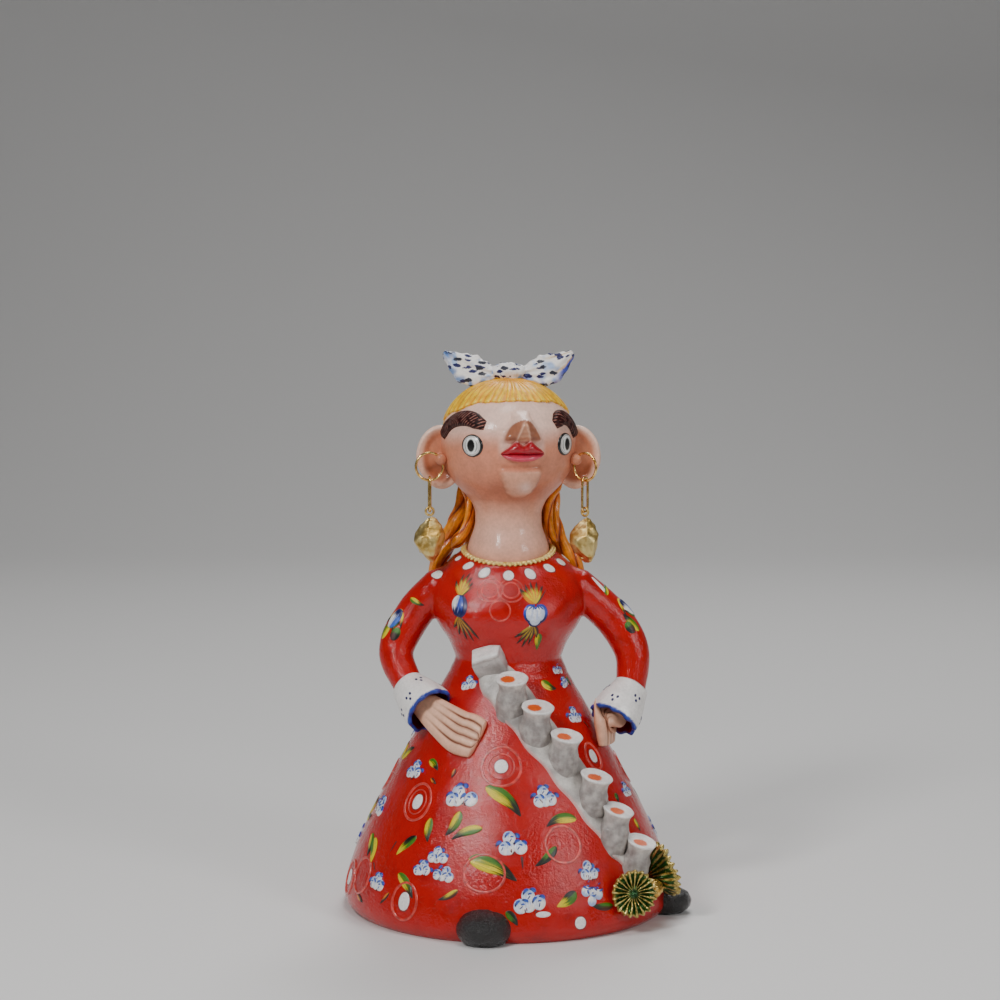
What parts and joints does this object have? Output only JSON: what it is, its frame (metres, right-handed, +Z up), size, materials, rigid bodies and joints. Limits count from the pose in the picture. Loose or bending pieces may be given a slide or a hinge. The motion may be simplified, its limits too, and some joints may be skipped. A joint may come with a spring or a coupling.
{
  "type": "folk art lady figure",
  "caption": "Standing folk figure of a lady in a flowered red bell dress, hands on hips, with a bow, hanging earrings and a pleated sash.",
  "frame": {"origin": "middle of the footprint box on the surface it stands on", "axes": "+Z up, the lady faces -Y, her right hand is on the -X side"},
  "size_m": [0.1538, 0.1534, 0.2464],
  "materials": {
    "red_dress": "gloss varnish over red paint",
    "skin": "satin paint, flesh colour",
    "pale_skin": "satin paint, pale flesh colour",
    "eye_white": "gloss paint, white with black rings",
    "dark_brown": "satin paint, dark brown, scratched in strokes",
    "lips": "gloss paint, red and pink",
    "yellow_hair": "satin paint, yellow, combed",
    "orange_hair": "satin paint, orange over red brown",
    "bow": "satin paint, white speckled with blue and black",
    "yellow_trim": "satin paint, yellow",
    "white_cuff": "satin paint, white with a blue rim",
    "white_sash": "satin paint, white shaded with grey",
    "gilt": "metallic gold paint",
    "green_gilt": "metallic gold over dark green paint",
    "black_shoe": "gloss black paint",
    "gilt_wire": "bright brass wire",
    "gilt_drop": "metallic gold paint on a modelled nugget"
  },
  "bodies": {
    "figure": {"bodice_shell": "red_dress", "bow_knot": "bow", "bow_left_loop": "bow", "bow_right_loop": "bow", "chin_pad": "pale_skin", "front_shoe": "black_shoe", "hair_cap": "yellow_hair", "hair_lock_back": "orange_hair", "hair_lock_left_back": "orange_hair", "hair_lock_left_front": "orange_hair", "hair_lock_left_side": "orange_hair", "hair_lock_right_back": "orange_hair", "hair_lock_right_front": "orange_hair", "hair_lock_right_side": "orange_hair", "head_shell": "skin", "left_arm": "red_dress", "left_cuff": "white_cuff", "left_ear": "skin", "left_eye": "eye_white", "left_eyebrow": "dark_brown", "left_hand": "skin", "lower_lip": "lips", "neck": "skin", "neckline_trim": "yellow_trim", "nose": "skin", "right_arm": "red_dress", "right_cuff": "white_cuff", "right_ear": "skin", "right_eye": "eye_white", "right_eyebrow": "dark_brown", "right_hand": "skin", "rosette_front_frill": "green_gilt", "rosette_knob": "gilt", "rosette_side_frill": "green_gilt", "sash_flap": "white_sash", "sash_roll_1": "white_sash", "sash_roll_2": "white_sash", "sash_roll_3": "white_sash", "sash_roll_4": "white_sash", "sash_roll_5": "white_sash", "sash_roll_6": "white_sash", "sash_strip": "white_sash", "side_shoe": "black_shoe", "skirt_shell": "red_dress", "upper_lip": "lips"},
    "left_hoop": {"left_hoop": "gilt_wire"},
    "left_link": {"left_link": "gilt_wire"},
    "left_drop": {"left_drop": "gilt_drop"},
    "right_hoop": {"right_hoop": "gilt_wire"},
    "right_link": {"right_link": "gilt_wire"},
    "right_drop": {"right_drop": "gilt_drop"}
  },
  "joints": [
    {"name": "left_hoop_swing", "type": "hinge", "parent": "figure", "child": "left_hoop", "pos_m": [-0.03295, -0.00529, 0.19877], "axis": [-0.5072, -0.0894, 0.8572], "range_deg": [-8, 8]},
    {"name": "left_link_slide", "type": "hinge", "parent": "left_hoop", "child": "left_link", "pos_m": [-0.03802, -0.00618, 0.19568], "axis": [-0.1736, 0.9848, 0], "range_deg": [-6, 6]},
    {"name": "left_drop_swing", "type": "hinge", "parent": "left_link", "child": "left_drop", "pos_m": [-0.03802, -0.00618, 0.17798], "axis": [-0.9848, -0.1736, 0], "range_deg": [-9, 9]},
    {"name": "right_hoop_swing", "type": "hinge", "parent": "figure", "child": "right_hoop", "pos_m": [0.0257, -0.00529, 0.19877], "axis": [0.3945, -0.3311, 0.8572], "range_deg": [-8, 8]},
    {"name": "right_link_slide", "type": "hinge", "parent": "right_hoop", "child": "right_link", "pos_m": [0.02964, -0.00859, 0.19568], "axis": [-0.6428, -0.766, 0], "range_deg": [-6, 6]},
    {"name": "right_drop_swing", "type": "hinge", "parent": "right_link", "child": "right_drop", "pos_m": [0.02964, -0.00859, 0.17798], "axis": [0.766, -0.6428, 0], "range_deg": [-9, 9]}
  ]
}
